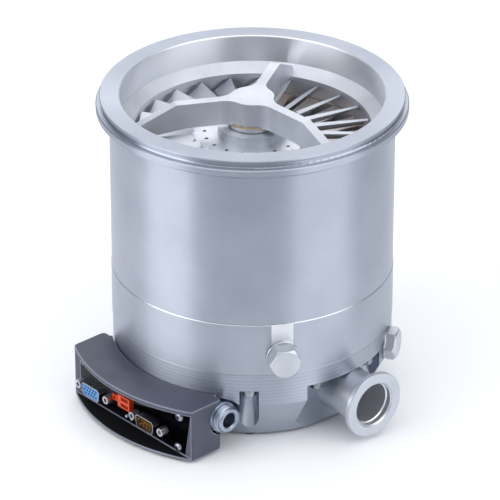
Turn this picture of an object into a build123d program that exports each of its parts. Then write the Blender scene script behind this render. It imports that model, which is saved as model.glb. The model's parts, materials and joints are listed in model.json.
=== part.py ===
"""Turbomolecular vacuum pump: a DN 160 ISO-K inlet on top, a KF 25 backing port at the side.

The pump stands on its feet at z = 0 and its rotor axis is the Z axis.  The air ends of the
arc-shaped electronics box and of the backing port both point towards -Y.  Millimetres, degrees.
"""
import math
import os

from build123d import *

os.makedirs("parts", exist_ok=True)

# ---------------------------------------------------------------- driving dimensions
# heights above the surface that the pump stands on
BASE_Z = 2.0             # underside of the base, lifted by the feet
SEAM_LOW_Z = 48.0        # base to middle ring
SEAM_HIGH_Z = 80.7       # middle ring to inlet housing
FACE_Z = 188.0           # sealing face of the inlet flange

# housings
BODY_R = 82.4            # outside of the inlet housing
RING_R = 82.7            # outside of the middle ring
FLANGE_R = 90.0          # DN 160 ISO-K rim
FLANGE_LIP_R = 87.8
INLET_R = 76.2           # bore of the inlet flange
THROAT_R = 69.0          # narrowest bore, just above the first rotor stage
STACK_R = 75.0           # bore that holds the stack of spacer rings
CONE_TOP_Z = 28.0        # the base narrows below this height
BASE_TOE_R = 71.5

# inlet: depths below the sealing face
CONE_START = 16.6
CONE_END = 21.5
STAR_SEAT_Z = FACE_Z - 24.5      # shoulder that carries the star's ring and ends the stack

# bladed stages
BLADE_TIP_R = 68.4
ROTOR_HUB_R = 37.0
STAGE_COUNT = 4
STAGE_TOP_Z = 164.5      # upper face of the first rotor stage
STAGE_PITCH = 17.0
ROTOR_BLADE_H = 8.0
STATOR_BLADE_H = 5.0
FIRST_STAGE_BLADES = 24
SPACER_IN_R = 70.2

# shaft and bearings
SHAFT_R = 7.0
DRUM_R = 62.0            # outside of the molecular-drag drum
DRUM_GAP = 0.4

# bearing star in the inlet
STAR_TOP_Z = FACE_Z - 2.4
STAR_ARM_W = 6.0
STAR_ANGLES = (73.0, -47.0, -167.0)
STAR_HUB_R = 13.0
STAR_FILLET = 11.0       # between the arms and the hub

# backing port, KF 25
PORT_ANGLE = -50.0
PORT_OFFSET = 7.6        # sideways from the radial line
PORT_Z = 22.6
PORT_FACE = 101.0        # rim face, from the pump axis
PORT_PAD = 68.0          # milled pad that carries the port
KF_R = 20.0
KF_BORE_R = 13.0
PORT_TUBE_R = 14.6

# hexagon plugs: the vent plug on the middle ring, the purge plug on the base
VENT_ANGLE = -77.8
VENT_Z = 60.0
PURGE_ANGLE = -16.1      # midway between two of the base's pockets
PURGE_Z = 36.0
BASE_R = 82.4            # outside of the base
PLUG_FLAT_W = 14.0
PLUG_HEX = 17.0
PLUG_BORE_R = 4.2
SPOT_DEPTH = 0.35        # the plugs seat this far inside the turned surface
WASHER_R = 9.6
WASHER_T = 1.4

# electronics box
BOX_ANGLE = -138.0       # the way its connector side faces
BOX_R = 107.2
BOX_IN_R = 83.2
BOX_HALF = 52.5
BOX_TOP_Z = 34.4
BOX_CUT_W = 70.6         # rear edge of its ends, from the pump axis
PANEL_W = 93.4           # connector panel face, from the pump axis
LID_T = 3.0
SILL_T = 1.2
D_SUB_PITCH = 25.0       # between a connector's two standoffs
DE15_U = -31.6
DE9_U = 17.0
CONNECTOR_Z = 13.0
SIDE_FITTING_R = 9.4

PANEL_SCREWS = [         # (along the front, height) of the panel's screws
    (-42.5, 6.8),
    (-43.0, 27.6),
    (41.0, 6.8),
    (42.4, 27.6),
]


def polar(radius, angle):
    """The x and y of a point at a radius and an angle about the pump axis."""
    return (radius * math.cos(math.radians(angle)), radius * math.sin(math.radians(angle)))


def facing(angle, distance=0.0, z=0.0, side=0.0):
    """A plane whose normal points outwards at an angle; its x runs to the right, its y up."""
    x, y = polar(distance, angle)
    sx, sy = polar(side, angle + 90)
    return Plane(
        origin=(x + sx, y + sy, z),
        x_dir=(*polar(1, angle + 90), 0),
        z_dir=(*polar(1, angle), 0),
    )


def ring(outer, inner, low, high):
    """A plain ring about the pump axis."""
    with BuildPart() as piece:
        with BuildSketch(Plane.XY.offset(low)):
            Circle(outer)
            Circle(inner, mode=Mode.SUBTRACT)
        extrude(amount=high - low)
    return piece.part


def save(part, name):
    """Label a finished piece and write its STEP file."""
    part.label = name
    export_step(part, f"parts/{name}.step")


# ---------------------------------------------------------------- inlet housing
GROOVE_R = 86.8
LIP_D = 1.2
BEAD_TOP_D = 4.6
BEAD_LOW_D = 8.6
BEVEL_END_D = 13.5

with BuildPart() as inlet_housing:
    with BuildSketch(Plane.XZ):
        with BuildLine():
            Polyline(
                (INLET_R, FACE_Z - 0.6),
                (INLET_R + 0.6, FACE_Z),
                (FLANGE_LIP_R - 0.3, FACE_Z),
                (FLANGE_LIP_R, FACE_Z - 0.3),
                (FLANGE_LIP_R, FACE_Z - LIP_D),
                (GROOVE_R, FACE_Z - LIP_D - 0.9),
            )
            Line((GROOVE_R, FACE_Z - LIP_D - 0.9), (GROOVE_R, FACE_Z - BEAD_TOP_D + 1.0))
            RadiusArc((GROOVE_R, FACE_Z - BEAD_TOP_D + 1.0), (GROOVE_R + 1.0, FACE_Z - BEAD_TOP_D), -1.0)
            Polyline(
                (GROOVE_R + 1.0, FACE_Z - BEAD_TOP_D),
                (FLANGE_R - 0.5, FACE_Z - BEAD_TOP_D - 0.3),
                (FLANGE_R, FACE_Z - BEAD_TOP_D - 0.8),
                (FLANGE_R, FACE_Z - BEAD_LOW_D),
                (BODY_R + 1.5, FACE_Z - BEVEL_END_D + 1.2),
                (BODY_R, FACE_Z - BEVEL_END_D),
                (BODY_R, SEAM_HIGH_Z + 0.4),
                (BODY_R - 0.4, SEAM_HIGH_Z),
                (STACK_R, SEAM_HIGH_Z),
                (STACK_R, STAR_SEAT_Z),
                (INLET_R, STAR_SEAT_Z),
                (INLET_R, FACE_Z - 0.6),
            )
        make_face()
    revolve(axis=Axis.Z)
save(inlet_housing.part, "inlet_housing")

# ---------------------------------------------------------------- middle ring with the plug bosses
O_RING_R = 78.6
O_RING_WIRE = 1.5

with BuildPart() as middle_ring:
    with BuildSketch(Plane.XZ):
        with BuildLine():
            Polyline(
                (STACK_R - 3.0, SEAM_LOW_Z),
                (RING_R - 0.3, SEAM_LOW_Z),
                (RING_R, SEAM_LOW_Z + 0.3),
                (RING_R, SEAM_HIGH_Z - 0.3),
                (RING_R - 0.3, SEAM_HIGH_Z),
                (STACK_R - 3.0, SEAM_HIGH_Z),
                close=True,
            )
        make_face()
    revolve(axis=Axis.Z)
    # groove for the seal under the inlet housing
    with BuildSketch(Plane.XY.offset(SEAM_HIGH_Z)):
        Circle(O_RING_R + O_RING_WIRE)
        Circle(O_RING_R - O_RING_WIRE, mode=Mode.SUBTRACT)
    extrude(amount=-2 * O_RING_WIRE + 0.2, mode=Mode.SUBTRACT)
    # vertical milled flat that the vent plug seats on, and its threaded bore
    with BuildSketch(facing(VENT_ANGLE, RING_R + 2.0, VENT_Z)):
        with Locations((0, (SEAM_HIGH_Z - VENT_Z) / 2)):
            Rectangle(PLUG_FLAT_W, SEAM_HIGH_Z - VENT_Z)
        Circle(WASHER_R + 0.5)
    extrude(amount=-2.0 - SPOT_DEPTH, mode=Mode.SUBTRACT)
    with BuildSketch(facing(VENT_ANGLE, RING_R + 2.0, VENT_Z)):
        Circle(PLUG_BORE_R)
    extrude(amount=-20, mode=Mode.SUBTRACT)
save(middle_ring.part, "middle_ring")

with BuildPart() as housing_seal:
    with BuildSketch(Plane.XZ):
        with Locations((O_RING_R, SEAM_HIGH_Z - O_RING_WIRE + 0.1)):
            RegularPolygon(O_RING_WIRE - 0.1, 8)
    revolve(axis=Axis.Z)
save(housing_seal.part, "housing_seal")

# ---------------------------------------------------------------- plugs and their washers
for name, angle, height, seat, head_h in (
    ("vent_plug", VENT_ANGLE, VENT_Z, RING_R - SPOT_DEPTH, 9.6),
    ("purge_plug", PURGE_ANGLE, PURGE_Z, BASE_R - SPOT_DEPTH, 5.6),
):
    with BuildPart() as washer:
        with BuildSketch(facing(angle, seat, height)):
            Circle(WASHER_R)
            Circle(6.6, mode=Mode.SUBTRACT)
        extrude(amount=WASHER_T)
        chamfer(washer.faces().sort_by(Axis((0, 0, height), (*polar(1, angle), 0)))[-1]
                .outer_wire().edges(), 0.3)
    save(washer.part, f"{name}_washer")

    head = facing(angle, seat + WASHER_T, height)
    with BuildPart() as plug:
        with BuildSketch(head):
            RegularPolygon(PLUG_HEX / 2, 6, major_radius=False)
        extrude(amount=head_h)
        # the hexagon's corners are turned down to a round face
        with BuildSketch(Plane(origin=head.origin, x_dir=head.z_dir, z_dir=-head.x_dir)) as bevel:
            with BuildLine():
                Polyline(
                    (head_h - 1.6, PLUG_HEX / 2 + 2.6),
                    (head_h - 1.6, PLUG_HEX / 2 + 1.4),
                    (head_h, PLUG_HEX / 2 - 0.4),
                    (head_h, PLUG_HEX / 2 + 2.6),
                    close=True,
                )
            make_face()
        revolve(axis=Axis(head.origin, head.z_dir), mode=Mode.SUBTRACT)
        with BuildSketch(head):
            Circle(6.4)
        extrude(amount=-WASHER_T)
        with BuildSketch(facing(angle, seat, height)):
            Circle(4.0)
        extrude(amount=-8.0)
    save(plug.part, name)

# ---------------------------------------------------------------- base
POCKET_ANGLES = [-91.1 + 30 * i for i in range(12)]
POCKET_W = 11.2
POCKET_TOP_Z = FACE_Z - 150.7
POCKET_R = 77.0          # centre line of the screws in the pockets
CAVITY_R = 60.0          # room for the motor and the drag stage
PAD_LEFT = -24.4         # ends of the port's pad, from the port's radial line
PAD_RIGHT = 34.0
FLOOR_Z = 14.0
COVER_R = 24.0
FIT_W = 68.5             # side fitting: its place along the box's facing direction
FIT_Z = 21.4


def box_plane(w=0.0, z=0.0, u=0.0):
    """A plane on the box: x runs along its front, y up, and the normal points out."""
    return facing(BOX_ANGLE, w, z, u)


def side_plane(u, w=0.0, z=0.0):
    """A plane square to the box's front, whose normal points along it to the right."""
    front = box_plane()
    return Plane(
        origin=front.origin + front.z_dir * w + front.x_dir * u + Vector(0, 0, z),
        x_dir=-front.z_dir,
        z_dir=front.x_dir,
    )


# the box covers two of the pockets, so they aren't milled
open_pockets = [a for a in POCKET_ANGLES if abs((a - BOX_ANGLE + 180) % 360 - 180) > 36]

with BuildPart() as base_housing:
    with BuildSketch(Plane.XZ):
        with BuildLine():
            Polyline(
                (9.0, FLOOR_Z),
                (9.0, BASE_Z + 8.0),
                (COVER_R, BASE_Z + 8.0),
                (COVER_R, BASE_Z),
                (BASE_TOE_R - 2.0, BASE_Z),
                (BASE_TOE_R, BASE_Z + 5.0),
                (BASE_R, CONE_TOP_Z),
                (BASE_R, SEAM_LOW_Z - 0.3),
                (BASE_R - 0.3, SEAM_LOW_Z),
                (STACK_R - 3.0, SEAM_LOW_Z),
                (CAVITY_R, SEAM_LOW_Z - 8.0),
                (CAVITY_R, FLOOR_Z),
                close=True,
            )
        make_face()
    revolve(axis=Axis.Z)
    # milled pad that carries the backing port
    with BuildSketch(facing(PORT_ANGLE, PORT_PAD, POCKET_TOP_Z / 2, (PAD_LEFT + PAD_RIGHT) / 2)):
        Rectangle(PAD_RIGHT - PAD_LEFT, POCKET_TOP_Z)
    extrude(amount=30, mode=Mode.SUBTRACT)
    # spot face and threaded bore of the purge plug
    with BuildSketch(facing(PURGE_ANGLE, BASE_R + 2.0, PURGE_Z)):
        Circle(WASHER_R + 0.5)
    extrude(amount=-2.0 - SPOT_DEPTH, mode=Mode.SUBTRACT)
    with BuildSketch(facing(PURGE_ANGLE, BASE_R + 2.0, PURGE_Z)):
        Circle(PLUG_BORE_R)
    extrude(amount=-20, mode=Mode.SUBTRACT)
    # backing passage from the cavity to the port, with the seat of the port's spigot
    with BuildSketch(facing(PORT_ANGLE, PORT_PAD + 1, PORT_Z, PORT_OFFSET)):
        Circle(KF_BORE_R - 2.0)
    extrude(amount=-18, mode=Mode.SUBTRACT)
    with BuildSketch(facing(PORT_ANGLE, PORT_PAD + 1, PORT_Z, PORT_OFFSET)):
        Circle(PORT_TUBE_R - 1.0)
    extrude(amount=-5, mode=Mode.SUBTRACT)
    # pockets for the screws that hold the middle ring
    with BuildSketch(Plane.XY.offset(BASE_Z - 1)):
        for angle in open_pockets:
            with Locations(Location((*polar(POCKET_R, angle), 0), (0, 0, angle))):
                Circle(POCKET_W / 2)
            with Locations(Location((*polar(POCKET_R + 6, angle), 0), (0, 0, angle))):
                Rectangle(12, POCKET_W)
    extrude(amount=POCKET_TOP_Z - BASE_Z + 1, mode=Mode.SUBTRACT)
    # clearance for the side fitting of the electronics box
    with BuildSketch(side_plane(40.0, FIT_W, FIT_Z)):
        Circle(SIDE_FITTING_R + 1.2)
    extrude(amount=30, mode=Mode.SUBTRACT)
save(base_housing.part, "base_housing")

# ---------------------------------------------------------------- screws, feet and bottom cover
SCREW_HEAD_R = 4.25
SCREW_HEAD_H = 5.0
with BuildPart() as base_screws:
    for angle in open_pockets:
        with BuildSketch(Plane.XY.offset(POCKET_TOP_Z - SCREW_HEAD_H)):
            with Locations(polar(POCKET_R, angle)):
                Circle(SCREW_HEAD_R)
                RegularPolygon(2.5, 6, mode=Mode.SUBTRACT)
        extrude(amount=SCREW_HEAD_H - 2.5)
        with BuildSketch(Plane.XY.offset(POCKET_TOP_Z - 2.5)):
            with Locations(polar(POCKET_R, angle)):
                Circle(SCREW_HEAD_R)
        extrude(amount=2.5)
save(base_screws.part, "base_screws")

FOOT_R = 62.5
FOOT_ANGLES = (-91.1, 178.9, 88.9, -1.1)
with BuildPart() as feet:
    with BuildSketch(Plane.XY):
        with Locations([polar(FOOT_R, angle) for angle in FOOT_ANGLES]):
            Circle(5.0)
    extrude(amount=BASE_Z, taper=-4)
save(feet.part, "feet")

COVER_LOW_Z = 1.2        # the cover stands a little proud of the base, clear of the floor
COVER_T = 3.0
with BuildPart() as bottom_cover:
    with BuildSketch(Plane.XY.offset(COVER_LOW_Z)):
        Circle(COVER_R - 0.05)
        with PolarLocations(COVER_R - 5, 3):
            Circle(1.8, mode=Mode.SUBTRACT)
    extrude(amount=COVER_T)
save(bottom_cover.part, "bottom_cover")

with BuildPart() as cover_screws:
    with BuildSketch(Plane.XY.offset(COVER_LOW_Z + 0.2)):
        with PolarLocations(COVER_R - 5, 3):
            Circle(1.8)
    extrude(amount=COVER_T - 0.2)
save(cover_screws.part, "cover_screws")

# felt disc that feeds oil to the lower bearing
save(ring(COVER_R - 3, 3.0, COVER_LOW_Z + COVER_T, BASE_Z + 8.0), "lubricant_wick")

# ---------------------------------------------------------------- backing port
KF_TAPER_D = 3.0 + (KF_R - PORT_TUBE_R) * math.tan(math.radians(15))
port = facing(PORT_ANGLE, 0, PORT_Z, PORT_OFFSET)
port_section = Plane(origin=port.origin, x_dir=port.z_dir, z_dir=-port.x_dir)
with BuildPart() as backing_port:
    with BuildSketch(port_section):
        with BuildLine():
            Polyline(
                (PORT_PAD - 4.0, KF_BORE_R - 2.0),
                (PORT_PAD - 4.0, PORT_TUBE_R - 1.05),
                (PORT_PAD, PORT_TUBE_R - 1.05),
                (PORT_PAD, PORT_TUBE_R),
                (PORT_FACE - KF_TAPER_D - 3.4, PORT_TUBE_R),
                (PORT_FACE - KF_TAPER_D - 3.0, PORT_TUBE_R - 0.5),
                (PORT_FACE - KF_TAPER_D, PORT_TUBE_R - 0.5),
                (PORT_FACE - 3.0, KF_R - 0.3),
                (PORT_FACE - 2.7, KF_R),
                (PORT_FACE - 0.3, KF_R),
                (PORT_FACE, KF_R - 0.3),
                (PORT_FACE, KF_BORE_R + 1.0),
                (PORT_FACE - 1.0, KF_BORE_R),
                (PORT_FACE - 4.0, KF_BORE_R),
                (PORT_FACE - 4.5, KF_BORE_R - 0.6),
                (PORT_PAD + 2.0, KF_BORE_R - 0.6),
                close=True,
            )
        make_face()
    revolve(axis=Axis(port.origin, port.z_dir))
save(backing_port.part, "backing_port")

# ---------------------------------------------------------------- bearing star
STAR_BEND_R = 45.0       # the arms are level to here, then fall to the ring
ARM_END_R = 71.0
STAR_HUB_LOW_Z = 170.5

with BuildPart() as bearing_star:
    with BuildSketch(Plane.XY.offset(STAR_HUB_LOW_Z)):
        Circle(STAR_HUB_R - 0.5)
    extrude(amount=STAR_TOP_Z - STAR_HUB_LOW_Z)
    for angle in STAR_ANGLES:
        # side view of an arm, extruded to both sides
        normal = (*polar(1, angle + 90), 0)
        side = Plane(origin=(0, 0, 0), x_dir=(*polar(1, angle), 0), z_dir=tuple(-c for c in normal))
        with BuildSketch(side):
            with BuildLine():
                Polyline(
                    (0, STAR_TOP_Z),
                    (STAR_BEND_R, STAR_TOP_Z),
                    (ARM_END_R - 1, STAR_TOP_Z - 12.6),
                    (ARM_END_R + 1, STAR_TOP_Z - 15.2),
                    (ARM_END_R + 1, STAR_SEAT_Z + 2.5),
                    (THROAT_R + 1.0, STAR_SEAT_Z + 2.5),
                    (STAR_BEND_R - 6, STAR_HUB_LOW_Z),
                    (0, STAR_HUB_LOW_Z),
                    close=True,
                )
            make_face()
        extrude(amount=STAR_ARM_W / 2, both=True)
    # the arms run into the hub through generous fillets
    inner = [
        e for e in bearing_star.edges().filter_by(Axis.Z)
        if math.hypot(e.center().X, e.center().Y) < STAR_HUB_R + 1
    ]
    fillet(inner, STAR_FILLET)
    # ring that seats in the flange bore, its top turned to a cone
    with BuildSketch(Plane.XZ):
        with BuildLine():
            Polyline(
                (THROAT_R, STAR_SEAT_Z),
                (INLET_R - 0.02, STAR_SEAT_Z),
                (INLET_R - 0.02, FACE_Z - CONE_START),
                (THROAT_R, FACE_Z - CONE_END),
                close=True,
            )
        make_face()
    revolve(axis=Axis.Z)
    # collar and pin under the hub carry the magnet rings
    with BuildSketch(Plane.XZ):
        with BuildLine():
            Polyline(
                (0, STAR_HUB_LOW_Z),
                (13.9, STAR_HUB_LOW_Z),
                (13.9, STAR_HUB_LOW_Z - 4),
                (8.0, STAR_HUB_LOW_Z - 4),
                (8.0, STAR_HUB_LOW_Z - 24),
                (6.6, STAR_HUB_LOW_Z - 24),
                (6.6, STAR_HUB_LOW_Z - 14),
                (0, STAR_HUB_LOW_Z - 14),
                close=True,
            )
        make_face()
    revolve(axis=Axis.Z)
save(bearing_star.part, "bearing_star")

# stationary magnet rings round the pin, and the rings that turn about them
MAGNET_H = 4.4
with BuildPart() as star_magnets:
    for i in range(4):
        with BuildSketch(Plane.XY.offset(STAR_HUB_LOW_Z - 4 - (i + 1) * (MAGNET_H + 0.3))):
            Circle(10.4)
            Circle(8.0, mode=Mode.SUBTRACT)
        extrude(amount=MAGNET_H)
save(star_magnets.part, "star_magnets")

with BuildPart() as rotor_magnets:
    for i in range(4):
        with BuildSketch(Plane.XY.offset(STAR_HUB_LOW_Z - 4 - (i + 1) * (MAGNET_H + 0.3))):
            Circle(14.0)
            Circle(11.4, mode=Mode.SUBTRACT)
        extrude(amount=MAGNET_H)
save(rotor_magnets.part, "rotor_magnets")

# safety bearing at the pin's lower end; the rotor's stub runs clear inside it
save(ring(6.58, 4.2, STAR_HUB_LOW_Z - 19, STAR_HUB_LOW_Z - 15), "safety_bearing")

# ---------------------------------------------------------------- rotor
HUB_LOW_Z = 90.0
HUB_TOP_Z = 162.5
WEB_T = 6.0
RING_TOP_Z = 168.0       # top of the ring that rises round the star's collar
RING_OUT_R = 20.0
BALANCE_HOLES = 18
BALANCE_HOLE_R = 27.6    # their pitch circle on the hub's upper face


def blade(root_r, tip_r, height, root_angle, tip_angle, thick_root, thick_tip):
    """One straight blade along +X, pitched more at its root than at its tip."""
    with BuildPart() as piece:
        for radius, angle, thick in ((root_r, root_angle, thick_root), (tip_r, tip_angle, thick_tip)):
            slope = math.radians(angle)
            chord = (height - thick * abs(math.cos(slope))) / math.sin(slope)
            with BuildSketch(facing(0, radius)):
                Rectangle(chord, thick, rotation=angle)
        loft()
    return piece.part


STAGES = [               # blades, root pitch, tip pitch: flatter and closer lower down
    (FIRST_STAGE_BLADES, 48, 36),
    (28, 42, 30),
    (32, 36, 25),
    (36, 32, 22),
]

with BuildPart() as turbine_rotor:
    with BuildSketch(Plane.XZ):
        with BuildLine():
            Polyline(
                (0, HUB_LOW_Z),
                (DRUM_R - 3.0, HUB_LOW_Z),
                (DRUM_R - 3.0, HUB_LOW_Z + WEB_T),
                (ROTOR_HUB_R, HUB_LOW_Z + WEB_T + 1.5),
                (ROTOR_HUB_R, HUB_TOP_Z - 2),
                (ROTOR_HUB_R - 3, HUB_TOP_Z),
                (RING_OUT_R, HUB_TOP_Z),
                (RING_OUT_R, RING_TOP_Z),
                (14.9, RING_TOP_Z),
                (14.9, STAR_HUB_LOW_Z - 4.2),
                (14.02, STAR_HUB_LOW_Z - 4.2),
                (14.02, 140.0),
                (3.2, 140.0),
                (3.2, STAR_HUB_LOW_Z - 15.5),
                (0, STAR_HUB_LOW_Z - 15.5),
                close=True,
            )
        make_face()
    revolve(axis=Axis.Z)
    # tapped holes for the balancing screws
    with BuildSketch(Plane.XY.offset(HUB_TOP_Z)):
        with PolarLocations(BALANCE_HOLE_R, BALANCE_HOLES, start_angle=2.0):
            Circle(1.1)
    extrude(amount=-4.0, mode=Mode.SUBTRACT)
    for stage, (count, root_pitch, tip_pitch) in enumerate(STAGES):
        middle = STAGE_TOP_Z - stage * STAGE_PITCH - ROTOR_BLADE_H / 2
        one = blade(ROTOR_HUB_R - 3, BLADE_TIP_R - 0.5, ROTOR_BLADE_H, root_pitch, tip_pitch, 2.4, 1.1)
        with Locations((0, 0, middle)):
            with PolarLocations(0, count):
                add(one)
save(turbine_rotor.part, "turbine_rotor")

# ---------------------------------------------------------------- shaft, drag drum and motor magnet
SHAFT_LOW_Z = 15.0
MOTOR_LOW_Z = 50.0
MOTOR_HIGH_Z = 82.0
with BuildPart() as rotor_shaft:
    with BuildSketch(Plane.XZ):
        with BuildLine():
            Polyline(
                (0, SHAFT_LOW_Z),
                (2.6, SHAFT_LOW_Z),
                (4.98, SHAFT_LOW_Z + 4),
                (4.98, 29.0),
                (SHAFT_R, 29.0),
                (SHAFT_R, MOTOR_LOW_Z - 2),
                (SHAFT_R, HUB_LOW_Z - 4),
                (16.0, HUB_LOW_Z - 4),
                (16.0, HUB_LOW_Z),
                (0, HUB_LOW_Z),
                close=True,
            )
        make_face()
    revolve(axis=Axis.Z)
save(rotor_shaft.part, "rotor_shaft")
save(ring(13.6, SHAFT_R + 0.02, MOTOR_LOW_Z, MOTOR_HIGH_Z), "motor_magnet")
save(ring(DRUM_R, DRUM_R - 2.98, MOTOR_LOW_Z, HUB_LOW_Z + WEB_T - 0.5), "drag_drum")

# ---------------------------------------------------------------- stator stack
DISC_RIM_IN_R = 69.4
STATOR_HUB_R = ROTOR_HUB_R + 1.0
STACK_LOW_Z = STAGE_TOP_Z - (STAGE_COUNT - 1) * STAGE_PITCH - ROTOR_BLADE_H - 7.0
STATORS = [(24, 50, 40), (28, 44, 34), (32, 38, 28), (36, 34, 24)]

for stage, (count, root_pitch, tip_pitch) in enumerate(STATORS):
    low = STAGE_TOP_Z - stage * STAGE_PITCH - ROTOR_BLADE_H - 7.0
    one = blade(STATOR_HUB_R + 0.6, DISC_RIM_IN_R + 0.5, STATOR_BLADE_H, 180 - root_pitch,
                180 - tip_pitch, 1.2, 1.2)
    with BuildPart() as stator_disc:
        with BuildSketch(Plane.XY.offset(low)):
            Circle(STACK_R - 0.05)
            Circle(DISC_RIM_IN_R, mode=Mode.SUBTRACT)
            Circle(STATOR_HUB_R + 1.5)
            Circle(STATOR_HUB_R, mode=Mode.SUBTRACT)
        extrude(amount=STATOR_BLADE_H)
        with Locations((0, 0, low + STATOR_BLADE_H / 2)):
            with PolarLocations(0, count):
                add(one)
    save(stator_disc.part, f"stator_disc_{stage + 1}")

    high = STAR_SEAT_Z if stage == 0 else low + STAGE_PITCH
    save(ring(STACK_R - 0.05, SPACER_IN_R, low + STATOR_BLADE_H, high), f"spacer_ring_{stage + 1}")

# drag stage: the drum turns between two sleeves
with BuildPart() as outer_drag_sleeve:
    with BuildSketch(Plane.XZ):
        with BuildLine():
            Polyline(
                (DRUM_R + DRUM_GAP, MOTOR_LOW_Z),
                (STACK_R - 3.05, MOTOR_LOW_Z),
                (STACK_R - 3.05, SEAM_HIGH_Z),
                (STACK_R - 0.05, SEAM_HIGH_Z),
                (STACK_R - 0.05, STACK_LOW_Z),
                (DRUM_R + DRUM_GAP, STACK_LOW_Z),
                close=True,
            )
        make_face()
    revolve(axis=Axis.Z)
save(outer_drag_sleeve.part, "outer_drag_sleeve")

INNER_SLEEVE_R = DRUM_R - 2.98 - DRUM_GAP
MOTOR_STATOR_R = 34.0
with BuildPart() as inner_drag_sleeve:
    with BuildSketch(Plane.XZ):
        with BuildLine():
            Polyline(
                (MOTOR_STATOR_R, FLOOR_Z),
                (CAVITY_R - 0.1, FLOOR_Z),
                (CAVITY_R - 0.1, FLOOR_Z + 3),
                (44.0, FLOOR_Z + 3),
                (44.0, MOTOR_LOW_Z - 6),
                (INNER_SLEEVE_R, MOTOR_LOW_Z),
                (INNER_SLEEVE_R, HUB_LOW_Z - 3),
                (MOTOR_STATOR_R, HUB_LOW_Z - 3),
                close=True,
            )
        make_face()
    revolve(axis=Axis.Z)
save(inner_drag_sleeve.part, "inner_drag_sleeve")
save(ring(MOTOR_STATOR_R - 0.02, 14.8, MOTOR_LOW_Z, MOTOR_HIGH_Z), "motor_stator")

# ---------------------------------------------------------------- lower bearing
BEARING_LOW_Z = 20.0
BEARING_HIGH_Z = 28.0
BALL_R = 1.7
BALL_PITCH_R = 9.0
RACE_GAP = 0.03
save(ring(BALL_PITCH_R - BALL_R - RACE_GAP, 5.0, BEARING_LOW_Z, BEARING_HIGH_Z), "bearing_inner_ring")
save(ring(13.0, BALL_PITCH_R + BALL_R + RACE_GAP, BEARING_LOW_Z, BEARING_HIGH_Z), "bearing_outer_ring")
with BuildPart() as bearing_balls:
    with Locations((0, 0, (BEARING_LOW_Z + BEARING_HIGH_Z) / 2)):
        with PolarLocations(BALL_PITCH_R, 8):
            Sphere(BALL_R)
save(bearing_balls.part, "bearing_balls")
with BuildPart() as bearing_cage:
    middle = (BEARING_LOW_Z + BEARING_HIGH_Z) / 2
    with BuildSketch(Plane.XY.offset(middle - 2.4)):
        Circle(BALL_PITCH_R + 0.9)
        Circle(BALL_PITCH_R - 0.9, mode=Mode.SUBTRACT)
    extrude(amount=4.8)
    with Locations((0, 0, middle)):
        with PolarLocations(BALL_PITCH_R, 8):
            Cylinder(BALL_R + 0.05, 4, rotation=(0, 90, 0), mode=Mode.SUBTRACT)
save(bearing_cage.part, "bearing_cage")

with BuildPart() as bearing_carrier:
    with BuildSketch(Plane.XZ):
        with BuildLine():
            Polyline(
                (10.0, FLOOR_Z),
                (MOTOR_STATOR_R - 0.1, FLOOR_Z),
                (MOTOR_STATOR_R - 0.1, FLOOR_Z + 6),
                (20.0, 32.0),
                (13.02, 32.0),
                (13.02, BEARING_LOW_Z - 1),
                (10.0, BEARING_LOW_Z - 1),
                close=True,
            )
        make_face()
    revolve(axis=Axis.Z)
save(bearing_carrier.part, "bearing_carrier")

# ---------------------------------------------------------------- electronics box
BOX_REAR_U = 46.5        # the box is narrower behind its ends
CORNER_R = 2.5
OPEN_LEFT_U = -47.0      # opening for the connector panel in the front wall
OPEN_RIGHT_U = 46.0
OPEN_TOP_Z = BOX_TOP_Z - LID_T
OPEN_LOW_Z = BASE_Z + SILL_T
PANEL_T = 2.0
top = box_plane()


def on_box(*points):
    """Plan points given as (along the front, out from the axis), as X and Y."""
    return [top.origin + top.x_dir * u + top.z_dir * w for u, w in points]


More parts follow.
